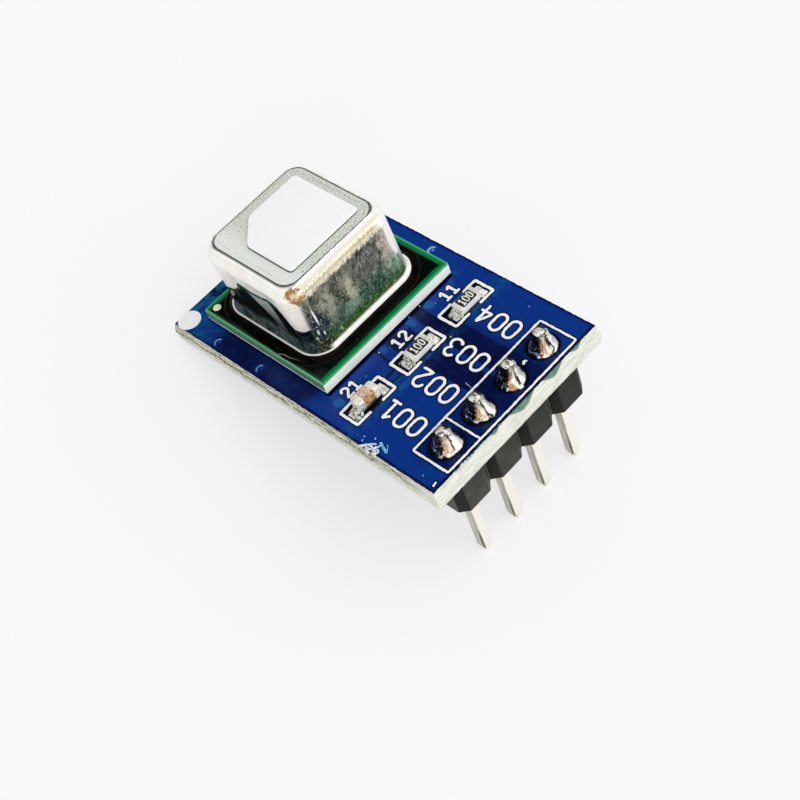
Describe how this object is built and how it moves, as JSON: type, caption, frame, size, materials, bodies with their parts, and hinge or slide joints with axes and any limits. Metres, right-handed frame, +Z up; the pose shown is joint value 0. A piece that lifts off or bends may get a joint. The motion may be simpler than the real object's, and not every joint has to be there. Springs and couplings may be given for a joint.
{
  "type": "temperature humidity sensor module",
  "caption": "Small blue circuit board with a gas, temperature and humidity sensor under a metal can, chip parts and a row of header pins, lying tilted on its pin tips.",
  "frame": {"origin": "on the surface that the module lies on, under the middle of its bounding box", "axes": "+Z up; +X along the pin row, from the pin with its own box in the print to the far pin; +Y along the floor from the pins to the sensor end. The board slopes down towards +Y at 22.7 degrees, because the module lies on its pin tips and the far edge of its board"},
  "size_m": [0.0132, 0.022, 0.0109],
  "materials": {
    "blue_mask": "glossy solder mask on glass-fibre laminate, with broken cream edges",
    "header_plastic": "moulded black nylon, fine satin",
    "pin_metal": "tinned, pale, drawn along its length",
    "solder": "bright flowed solder",
    "green_mask": "glossy green solder mask on laminate",
    "sealant": "glossy black sealant",
    "can_metal": "nickelled, mirror sides and a fine matt top",
    "membrane": "matt white porous film",
    "cell_metal": "satin plated lid",
    "chip_epoxy": "matt moulded epoxy",
    "resistor_body": "black glazed top on white ceramic, plated ends",
    "capacitor_body": "matt tan ceramic, plated ends"
  },
  "bodies": {
    "root": {"circuit_board": "blue_mask", "header_insulator": "header_plastic", "header_pin_1": "pin_metal", "header_pin_2": "pin_metal", "header_pin_3": "pin_metal", "header_pin_4": "pin_metal", "pin_solder_1": "solder", "pin_solder_2": "solder", "pin_solder_3": "solder", "pin_solder_4": "solder", "sensor_substrate": "green_mask", "sealing_bead": "sealant", "metal_can": "can_metal", "vent_membrane": "membrane", "infrared_emitter": "cell_metal", "microphone": "cell_metal", "humidity_chip": "chip_epoxy", "controller_chip": "chip_epoxy", "resistor_1": "resistor_body", "resistor_2": "resistor_body", "capacitor": "capacitor_body", "resistor_1_solder_left": "solder", "resistor_1_solder_right": "solder", "resistor_2_solder_left": "solder", "resistor_2_solder_right": "solder", "capacitor_solder_left": "solder", "capacitor_solder_right": "solder", "sensor_land_01": "solder", "sensor_land_02": "solder", "sensor_land_03": "solder", "sensor_land_04": "solder", "sensor_land_05": "solder", "sensor_land_06": "solder", "sensor_land_07": "solder", "sensor_land_08": "solder", "sensor_land_09": "solder", "sensor_land_10": "solder", "sensor_land_11": "solder", "sensor_land_12": "solder", "sensor_land_13": "solder", "sensor_land_14": "solder", "sensor_land_15": "solder", "sensor_land_16": "solder", "sensor_land_17": "solder", "sensor_land_18": "solder", "sensor_land_19": "solder", "sensor_land_20": "solder", "sensor_centre_land": "solder"}
  },
  "joints": []
}
